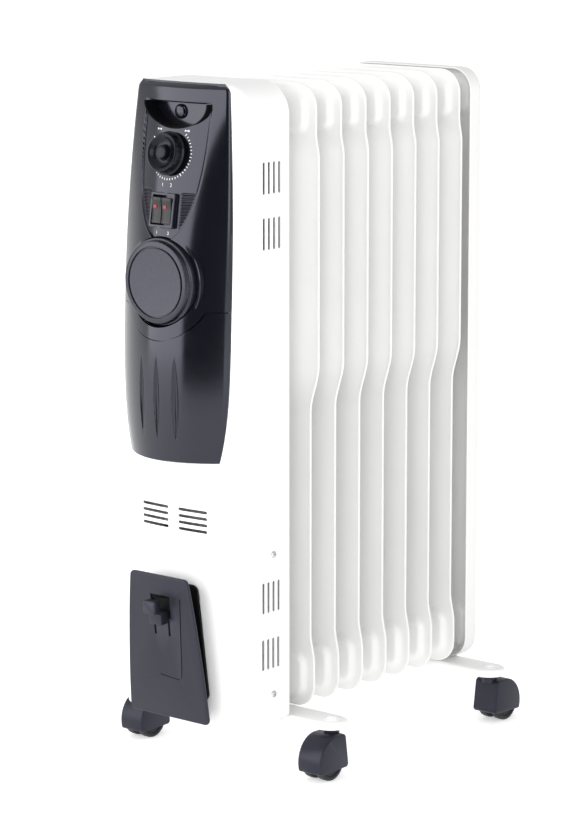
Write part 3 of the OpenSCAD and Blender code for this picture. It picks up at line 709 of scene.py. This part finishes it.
def lobe(grow):
    """Round lobe of the upper panel under the cap, with the straight seam on either side."""
    r = CAP_R + 12.5 + grow
    z = SEAM_Z - grow - CAP_Z
    reach = math.sqrt(r * r - z * z)
    flare = 5.0
    start = math.atan2(z, -reach)
    end = math.atan2(z, reach)
    arc = [(r * math.cos(t), r * math.sin(t)) for t in np.linspace(start + 0.05, end - 0.05, 50)]
    left = [(-100, z), (-reach - flare, z), (-reach - 1.8, z - 0.4)]
    right = [(reach + 1.8, z - 0.4), (reach + flare, z), (100, z)]
    return left + arc + right + [(100, 200), (-100, 200)]


def upper_panel():
    """The part with the controls, opened for the cap, the grip and the switches."""
    panel = panel_shell("upper_panel", steps((398, 496, 60), (496, 548, 140), (548, 616, 60),
                                             (616, 624, 20), (624, 638, 16)))
    keep = prism("keep", lobe(0), facing(CAP_Z), 20, 150)
    boolean(panel, [keep], "INTERSECT")
    cutters = [
        prism("cap_hole", disc_outline(CAP_R + 1.2), facing(CAP_Z), 20, 150),
        prism("grip_hole", grip_outline(), facing(GRIP_Z - 0.4), 20, 150),
        prism("switch_hole", rect(FRAME_W + 0.3, FRAME_H + 0.3, 1.5), switch_matrix, -20, 20),
    ]
    boolean(panel, cutters)
    section = [(41.0, -28), (41.0, -11.8), (41.6, -11.2), (43.6, -11.2), (44.2, -11.8), (44.2, -28)]
    collar = revolve("collar", section, cap_matrix, 128, 30)
    return join("upper_panel", [panel, collar])


def lower_panel():
    """The lower door sits a little further back than the upper panel, with a tongue behind the seam."""
    door = panel_shell("lower_door", steps((299, 304, 5), (304, 400, 60), (400, 445, 26)), 0.9)
    boolean(door, [prism("cut", lobe(1.1), facing(CAP_Z), 20, 150)])
    tongue = panel_shell("tongue", steps((400, 445, 30)), 3.4)
    boolean(tongue, [prism("cut", lobe(-3), facing(CAP_Z), 20, 150)])
    return join("lower_door", [door, tongue])


wear_on(upper_panel(), PANEL, ROOT, "panel_plastic", "control_panel")
wear_on(lower_panel(), PANEL, ROOT, "panel_plastic", "lower_panel")

cap = revolve("round_blank", [
    (0, -0.6), (12, -0.5), (24, -0.25), (30.6, 0), (31.1, -0.3), (31.3, -1.4), (32.2, -1.4), (32.4, -0.3),
    (32.9, 0), (35.6, -0.1), (36.8, -0.7), (37.2, -2), (37.3, -5.2), (37.9, -5.8), (38.9, -6.0),
    (39.4, -6.6), (39.5, -8), (39.5, -18), (37, -18), (37, -9), (0, -9)], cap_matrix, 128, 30)
wear_on(cap, CAP, ROOT, "panel_plastic", "round_cap")


def grip_parts():
    """Finger pocket behind the opening, as wide as the opening."""
    shell = prism("cup", grip_outline(2), facing(GRIP_Z), -GRIP_FLOOR - 2, 64)
    roof = block("roof", (-GRIP_W - 2, -64, GRIP_Z - 0.2), (GRIP_W + 2, GRIP_FLOOR + 2, GRIP_Z + 2))
    hollow = prism("hollow", [(x, y + 2 * (y > -0.01)) for x, y in grip_outline(0.2)], facing(GRIP_Z - 0.1),
                   -GRIP_FLOOR, 70)
    boolean(shell, [hollow])
    return join("grip_pocket", [shell, roof])


def grip_painted_shade():
    """Near-black sheet round the wall of the pocket: painted shade inside the finger pocket."""
    lining = prism("grip_painted_shade", grip_outline(0.4), facing(GRIP_Z - 0.3), -GRIP_FLOOR + 0.1, 69.5)
    return boolean(lining, [prism("hollow", [(x, y + 2 * (y > -0.01)) for x, y in grip_outline(-0.5)],
                                  facing(GRIP_Z - 0.3), -GRIP_FLOOR - 1, 80)])


wear_on(grip_parts(), PANEL, ROOT, "panel_plastic", "grip_cup")
# The sheet is painted shade for the pocket's wall.
wear_on(grip_painted_shade(), DARK, ROOT, "panel_plastic")
boss = revolve("grip_button", [(0, 3.4), (4.8, 3.3), (5.6, 2.8), (5.9, 1.8), (6.6, 1.5), (6.8, 0), (0, 0)],
               axis_matrix((GRIP_BOSS_X, GRIP_FLOOR, GRIP_Z - 9.5), (0, -1, 0)), 48)
wear_on(boss, PANEL, ROOT, "panel_plastic", "grip_boss")


# ---------------------------------------------------------------- controls
knob_matrix = on_panel(KNOB_Z, KNOB_TILT)


def knob_shape():
    """A drum with a dished face and a small boss in the dish."""
    def fluted(r, h, t):
        return r * (1 + 0.008 * math.cos(24 * t)) if r > 17.5 and h > 3 else r
    profile = [(0, 0.6), (19.2, 0.6), (19.8, 1.2), (19.8, 2.0), (19.3, 2.6), (18.6, 3.2), (18.1, 6),
               (17.8, 8.8), (17.4, 9.8), (16.6, 10.3), (15.6, 10.1), (14.2, 9.0), (12.6, 7.2), (10.8, 5.9),
               (9, 5.3), (7.6, 5.2), (6.9, 5.6), (6.5, 6.6), (6.2, 9.8), (5.7, 10.9), (4.6, 11.4),
               (3, 11.6), (0, 11.6)]
    return revolve("dial_knob", profile, knob_matrix, 144, 30, fluted)


wear_on(knob_shape(), KNOB, "thermostat_knob", "knob_plastic", "thermostat_knob")
pointer_angle = math.radians(128)
pointer = prism("dial_pointer", [(15.9, -0.5), (17.2, -0.5), (17.2, 0.5), (15.9, 0.5)],
                knob_matrix @ Matrix.Rotation(pointer_angle, 4, "Z"), 8.5, 10.4)
wear_on(bevel(pointer, 0.15), PRINT, "thermostat_knob", "knob_plastic")


SCALE_R, SCALE_TICKS, SCALE_START, SCALE_END = 22.9, 27, 48, -152


def on_surface(x, z):
    """A point of the panel's face and its outward direction."""
    h = 0.5

    def y_at(px, pz):
        px, pz = np.float64(px), np.float64(pz)
        return float(panel_base(px, pz) + panel_relief(px, pz))
    slope_x = (y_at(x + h, z) - y_at(x - h, z)) / (2 * h)
    slope_z = (y_at(x, z + h) - y_at(x, z - h)) / (2 * h)
    return (x, y_at(x, z), z), (slope_x, -1, slope_z)


def printed_marks():
    """Scale round the knob, dots and short bars beside the controls."""
    marks = []

    def bar(x, z, w, h, turn):
        origin, outward = on_surface(x, z)
        marks.append(prism("m", rect(w, h), axis_matrix(origin, outward, turn), -0.3, 0.12))

    for k in range(SCALE_TICKS):
        a = math.radians(SCALE_START - k * (SCALE_START - SCALE_END) / (SCALE_TICKS - 1))
        long = 2.6 if k % 13 == 0 else 1.7
        bar(SCALE_R * math.cos(a), KNOB_Z + SCALE_R * math.sin(a), 0.75, long, a - math.pi / 2)
    for x in (-17.5, 15.5):
        bar(x - 1.6, 595.5, 1.0, 1.6, 0)
        bar(x + 0.2, 595.5, 1.3, 1.0, 0)
        bar(x + 2.2, 595.5, 1.3, 1.8, 0)
    return marks


def numeral(text, x, z, size):
    """Raised numeral on the panel's face."""
    curve = bpy.data.curves.new("numeral", "FONT")
    curve.body = text
    curve.size = size * MM
    curve.extrude = 0.1 * MM
    curve.align_x = "CENTER"
    curve.align_y = "CENTER"
    curve.resolution_u = 4
    temp = bpy.data.objects.new("numeral", curve)
    bpy.context.collection.objects.link(temp)
    graph = bpy.context.evaluated_depsgraph_get()
    graph.update()
    mesh = bpy.data.meshes.new_from_object(temp.evaluated_get(graph))
    bpy.data.objects.remove(temp)
    bpy.data.curves.remove(curve)
    origin, outward = on_surface(x, z)
    m = axis_matrix(place([origin])[0], outward)
    mesh.transform(m)
    obj = bpy.data.objects.new("numeral", mesh)
    bpy.context.collection.objects.link(obj)
    return obj


numbers = [numeral("1", -5, 547, 4.6), numeral("2", 5, 547, 4.6),
           numeral("1", -6.8, 504.6, 4.2), numeral("2", 6.8, 504.6, 4.2)]
wear_on(join("scale_marks", printed_marks() + numbers), PRINT, ROOT, "panel_plastic")

frame_ring = prism("switch_surround", rect(FRAME_W, FRAME_H, 1.5), switch_matrix, -4, 1.5)
bevel(frame_ring, 0.6)
boolean(frame_ring, [prism("hole", rect(SWITCH_W, SWITCH_H, 0.8), switch_matrix, -6, 6)])
tray = prism("tray", rect(FRAME_W, FRAME_H, 1.5), switch_matrix, -8.5, -7.7)
walls = prism("walls", rect(FRAME_W, FRAME_H, 1.5), switch_matrix, -8, -3.9)
boolean(walls, [prism("hole", rect(SWITCH_W, SWITCH_H, 0.8), switch_matrix, -9, 0)])
frame_ring = join("switch_surround", [frame_ring, tray, walls])
wear_on(frame_ring, PANEL, ROOT, "panel_plastic", "switch_frame")

for side, word in ((-1, "left"), (1, "right")):
    tilt = Matrix.Rotation(math.radians(7), 4, "X")
    pivot = switch_matrix @ Matrix.Translation((side * ROCKER_PITCH / 2, 0, -2)) @ tilt
    # Local X of the outline is the depth and local Y the height of the rocker.
    across = pivot @ Matrix.Rotation(-math.pi / 2, 4, "Y")
    outline = [(-3, -9), (3.6, -12), (4.7, -11.4), (4.2, -8), (3.6, -3), (3.5, 0),
               (3.6, 3), (4.2, 8), (4.7, 11.4), (3.6, 12), (-3, 9)]
    rocker = prism(f"{word}_rocker_cap", outline, across, -5.4, 5.4)
    bevel(rocker, 0.5, 2, 25)
    wear_on(rocker, ROCKER, f"{word}_rocker", "rocker_plastic", f"rocker_{word}")
    lamp_matrix = pivot @ Matrix.Translation((-1.6, 3.2, 0))
    lens = prism(f"{word}_rocker_lamp", rect(4.4, 3.8, 1.5), lamp_matrix, 2.2, 4.35)
    bevel(lens, 0.5, 3)
    wear_on(lens, RED, f"{word}_rocker", "rocker_plastic")


# ---------------------------------------------------------------- cord wrap
WRAP_TOP, WRAP_H, PLATE_FACE, PLATE_T = 193.0, 137.0, -97.0, 3.0
FLANGE_TOP, FLANGE_H, FLANGE_REAR = 184.0, 108.0, -75.5
HOOK_Z = 165
plate_matrix = leaning(PLATE_FACE, WRAP_TOP, math.radians(6), WRAP_H)


def wrap_outline():
    """Trapezium with round corners and slightly bowed sides."""
    corners = fillet([(-48.5, 0, 5), (48.5, 0, 5), (35, WRAP_H, 5.5), (-35, WRAP_H, 5.5)], 7)
    side = [(41.75 + 6.75 * k + 1.6 * (1 - k * k), (1 - k) * WRAP_H / 2) for k in (0.6, 0.3, 0, -0.3, -0.6)]
    return corners[:14] + side + corners[14:] + [(-x, y) for x, y in side[::-1]]


def wrap_plate():
    """Front plate with the opening, two slits, a fine groove and the hook on its neck."""
    plate = prism("wrap_plate", wrap_outline(), plate_matrix, -PLATE_T, 0)
    bevel(plate, 0.9)

    def on_plate(x, drop):
        return plate_matrix @ Matrix.Translation((x, WRAP_H - drop, 0))
    cuts = [prism("key", rect(23.4, 21, 1), on_plate(0, 29.5), -9, 9)]
    cuts += [prism("slit", rect(2.4, 22, 1.1), on_plate(s * 8.6, 46.5), -9, 9) for s in (-1, 1)]
    line = fillet([(24.5, WRAP_H - 20, 0), (19.5, WRAP_H - 98, 5), (-6, WRAP_H - 96, 0)], 8)
    path = [Vector((x, y, 0)) for x, y in line]
    for a, b in zip(path, path[1:]):
        d = b - a
        m = plate_matrix @ Matrix.Translation((a + b) / 2) @ Matrix.Rotation(math.atan2(d.y, d.x), 4, "Z")
        cuts.append(prism("line", rect(d.length + 0.5, 1.1), m, -0.8, 3))
    boolean(plate, cuts)
    low, high = WRAP_H - 45, WRAP_H - 34
    tongue = fillet([(-7.2, low, 0), (7.2, low, 0), (7.2, high, 2), (-7.2, high, 2)], 5)
    neck = prism("neck", tongue, plate_matrix, -PLATE_T, 8.5)
    hook = prism("hook", rect(14.4, 12.4, 2.2), facing(HOOK_Z), 101.4, 109.9)
    bevel(hook, 1.4)
    bevel(neck, 0.8)
    return join("cord_wrap_plate", [plate, neck, hook])


wear_on(wrap_plate(), TRIM, ROOT, "trim_plastic", "cord_plate")


def spool():
    """Core between the plate and the flange on the cover."""
    flange_matrix = leaning(FLANGE_REAR, FLANGE_TOP, math.radians(2.5), FLANGE_H)
    outline = fillet([(-40, 0, 7), (40, 0, 7), (30, FLANGE_H, 7), (-30, FLANGE_H, 7)], 8)
    flange = prism("flange", outline, flange_matrix, 0, 2.5)
    bevel(flange, 0.7)
    core = prism("core", fillet([(-19, 0, 9), (19, 0, 9), (17, 74, 9), (-17, 74, 9)], 10), facing(96), 74, 102)
    boolean(core, [prism("front", rect(160, 400), plate_matrix, -PLATE_T - 0.05, 60)])
    return join("cord_spool_core", [flange, core])


# The spool is black plastic, drawn in the matte near-black so that the key opening also carries painted shade.
wear_on(spool(), DARK, ROOT, "trim_plastic", "cord_spool")


# ---------------------------------------------------------------- feet and casters
FOOT_Z, FOOT_W, FOOT_L, CASTER_X = 47.0, 32.0, 126.0, 111.0
FRONT_FOOT_Y, REAR_FOOT_Y, FOOT_T = 16.6, 258.0, 1.8
TRAIL, WHEEL_R, AXLE_Z = 13.0, 17.0, 17.0
HOOD_W, WEB, WHEEL_W, WHEEL_GAP = 14.0, 2.6, 8.8, 0.5


def foot_bar(name, y, node):
    """Pressed channel with round ends, open below, with a cap over each caster stem."""
    m = Matrix.Translation((0, y, FOOT_Z))
    r = FOOT_W / 2
    bar = prism("bar", rect(2 * FOOT_L, FOOT_W, r - 0.02, 24), m, 0, FIN_Z - FOOT_Z)
    low_edge = {v.index for v in bar.data.vertices if v.co.z < (FOOT_Z + 1) * MM}
    bm = bmesh.new()
    bm.from_mesh(bar.data)
    bm.verts.ensure_lookup_table()
    rim = [e for e in bm.edges if len(e.link_faces) == 2 and e.calc_face_angle(0) > 0.8
           and not (e.verts[0].index in low_edge and e.verts[1].index in low_edge)
           and abs(e.verts[0].co.z - e.verts[1].co.z) < 1e-6]
    bmesh.ops.bevel(bm, geom=rim, offset=3.2 * MM, segments=5, profile=0.5, affect="EDGES")
    bm.to_mesh(bar.data)
    bm.free()
    finish_mesh(bar.data)
    inner = rect(2 * (FOOT_L - FOOT_T), 2 * (r - FOOT_T), r - 1.9, 24)
    boolean(bar, [prism("in", inner, m, -4, FIN_Z - FOOT_Z - FOOT_T)])
    caps = [revolve("cap", [(0, 3.0), (2.4, 2.8), (4.4, 1.9), (5.2, 0.6), (7.6, 0.5), (8, -0.4), (0, -0.4)],
                    Matrix.Translation((s * CASTER_X, y, FIN_Z)), 40) for s in (-1, 1)]
    return wear_on(join(name, [bar, *caps]), WHITE_PAINT, ROOT, "white_paint", node)


foot_bar("front_foot_bar", FRONT_FOOT_Y, "front_foot")
foot_bar("rear_foot_bar", REAR_FOOT_Y, "rear_foot")

PLACES = {1: "front_left", 2: "front_right", 3: "rear_left", 4: "rear_right"}


def hood_outline():
    """Side view of a hood: local X towards the stem from the axle, local Y up from the axle."""
    turns = np.linspace(math.radians(200), math.radians(92), 26)
    dome = [(4 + 23.6 * math.cos(t), 25 * math.sin(t)) for t in turns]
    lead = fillet([(4, 25, 0), (17.2, 24.6, 4), (21.4, -5.5, 3), (19.2, -7.6, 1.5), (-10, -8.6, 0)], 6)
    return dome + lead[1:-1]


def hood_matrix(n):
    """Frame on the axle of caster n, and which way along it is outward."""
    end = -1 if n <= 2 else 1
    side = -1 if n % 2 else 1
    y = FRONT_FOOT_Y if n <= 2 else REAR_FOOT_Y
    lead = Vector((0, -end, 0))
    up = Vector((0, 0, 1))
    across = lead.cross(up)
    turn = Matrix((lead, up, across)).transposed().to_4x4()
    return Matrix.Translation((side * CASTER_X, y + end * TRAIL, AXLE_Z)) @ turn, side * across.x


def caster(n):
    """Hood with two wheel wells and its two wheels."""
    m, outer = hood_matrix(n)
    body = f"{PLACES[n]}_caster"
    hood = prism("hood", hood_outline(), m, -HOOD_W + 0.2, HOOD_W - 0.2)
    bevel(hood, 1.6, 4, 30)
    wells = []
    for s in (-1, 1):
        low, high = sorted((s * WEB, s * (HOOD_W - 1.4)))
        wells.append(prism("well", disc_outline(WHEEL_R + 1, 72), m, low, high))
    boolean(hood, wells)
    stem_axis = m @ Vector((TRAIL, 0, 0))
    socket = revolve("socket", [(4.1, 22), (7.2, 22), (7.2, 26.4), (6.6, 27), (4.1, 27)],
                     Matrix.Translation((stem_axis.x, stem_axis.y, AXLE_Z)), 40)
    hood = join(f"{PLACES[n]}_hood", [hood, socket])
    wear_on(hood, HOOD, body, "trim_plastic", f"caster_{n}_hood")
    for word, place_sign in (("inner", -1), ("outer", 1)):
        sign = place_sign * (1 if outer > 0 else -1)
        rim = [(3.06, 0), (5.4, 0), (5.8, 0.5), (5.8, 1.2), (12.4, 1.4), (13.2, 0.6), (14, 0), (15.6, 0.1),
               (16.7, 0.9), (WHEEL_R, 2.2)]
        profile = rim + [(r, WHEEL_W - h) for r, h in rim[::-1]] + [rim[0]]
        start = Matrix.Translation((0, 0, sign * (WEB + WHEEL_GAP) - (WHEEL_W if sign < 0 else 0)))
        wheel = revolve(f"{PLACES[n]}_{word}_tyre", profile, m @ start, 72, 30)
        wear_on(wheel, WHEEL, f"{PLACES[n]}_{word}_wheel", "wheel_plastic", f"caster_{n}_wheel_{word}")


for number in PLACES:
    caster(number)


# ---------------------------------------------------------------- stage, lights, camera
FLOOR_SIZE = 20


def stage_plane(name, corners, look):
    mesh = bpy.data.meshes.new(name)
    mesh.from_pydata(corners, [], [(0, 1, 2, 3)])
    obj = bpy.data.objects.new(name, mesh)
    obj.data.materials.append(look)
    bpy.context.collection.objects.link(obj)
    return obj


FLOOR = material("floor_pale", (0.95, 0.95, 0.955), 0.6, specular=0.2, mottle=0.004, mottle_scale=2, grain=0.0)
floor_shader = FLOOR.node_tree.nodes["Principled BSDF"]
floor_shader.inputs["Emission Color"].default_value = (1, 1, 1, 1)
floor_shader.inputs["Emission Strength"].default_value = 0.4
BLACK_CARD = material("black_card", (0.004, 0.004, 0.004), 0.9, specular=0.0, grain=0.0)
stage_plane("floor", [(FLOOR_SIZE * i, FLOOR_SIZE * j, 0) for i, j in ((-1, -1), (1, -1), (1, 1), (-1, 1))],
            FLOOR)


def card(name, azimuth, width, distance, low, high):
    """Upright dark card that only reflections see. Azimuth 0 is in front of the controls."""
    a = math.radians(azimuth)
    centre = Vector((math.sin(a), -math.cos(a), 0)) * distance
    side = Vector((math.cos(a), math.sin(a), 0)) * width / 2
    corners = [centre - side + Vector((0, 0, low)), centre + side + Vector((0, 0, low)),
               centre + side + Vector((0, 0, high)), centre - side + Vector((0, 0, high))]
    obj = stage_plane(name, [tuple(c) for c in corners], BLACK_CARD)
    obj.visible_camera = False
    obj.visible_diffuse = False
    obj.visible_shadow = False
    return obj


card("flank_card", 18, 1.35, 2.0, -0.5, 2.6)


def studio_world():
    """White all round, dimmer overhead, and plain white where the camera sees it."""
    world = bpy.data.worlds.new("studio")
    bpy.context.scene.world = world
    world.use_nodes = True
    tree = world.node_tree
    where = tree.nodes.new("ShaderNodeTexCoord")
    split = tree.nodes.new("ShaderNodeSeparateXYZ")
    fall = tree.nodes.new("ShaderNodeMapRange")
    fall.inputs["From Min"].default_value = 0.1
    fall.inputs["To Min"].default_value = 0.92
    fall.inputs["To Max"].default_value = 0.65
    path = tree.nodes.new("ShaderNodeLightPath")
    seen = tree.nodes.new("ShaderNodeMath")
    seen.operation = "MAXIMUM"
    background = tree.nodes["Background"]
    background.inputs["Color"].default_value = (1, 1, 1, 1)
    tree.links.new(where.outputs["Generated"], split.inputs[0])
    tree.links.new(split.outputs["Z"], fall.inputs["Value"])
    tree.links.new(fall.outputs[0], seen.inputs[0])
    tree.links.new(path.outputs["Is Camera Ray"], seen.inputs[1])
    tree.links.new(seen.outputs[0], background.inputs["Strength"])


studio_world()


def area_light(name, location, target, size, power):
    data = bpy.data.lights.new(name, "AREA")
    data.shape = "RECTANGLE"
    data.size, data.size_y = size
    data.energy = power
    obj = bpy.data.objects.new(name, data)
    obj.location = location
    obj.rotation_euler = (Vector(target) - Vector(location)).to_track_quat("-Z", "Y").to_euler()
    bpy.context.collection.objects.link(obj)
    return obj


area_light("camera_bank", (2.3, -2.75, 1.5), (0, 0, 0.3), (2.2, 2.2), 41)
area_light("front_bank", (-1.2, -2.65, 0.9), (0, 0, 0.35), (3.5, 2.4), 62)

camera_data = bpy.data.cameras.new("camera")
camera_data.lens = 142.3
camera_data.shift_x = -0.0085
camera_data.shift_y = -0.0208
camera = bpy.data.objects.new("camera", camera_data)
bpy.context.collection.objects.link(camera)
camera.location = (1.9532, (-2214.6 + RIM_Y) * MM, 0.8775)
look_at = Vector((0, (100 + RIM_Y) * MM, 0.332))
camera.rotation_euler = (look_at - camera.location).to_track_quat("-Z", "Y").to_euler()
bpy.context.scene.camera = camera
bpy.context.scene.view_settings.view_transform = "Standard"
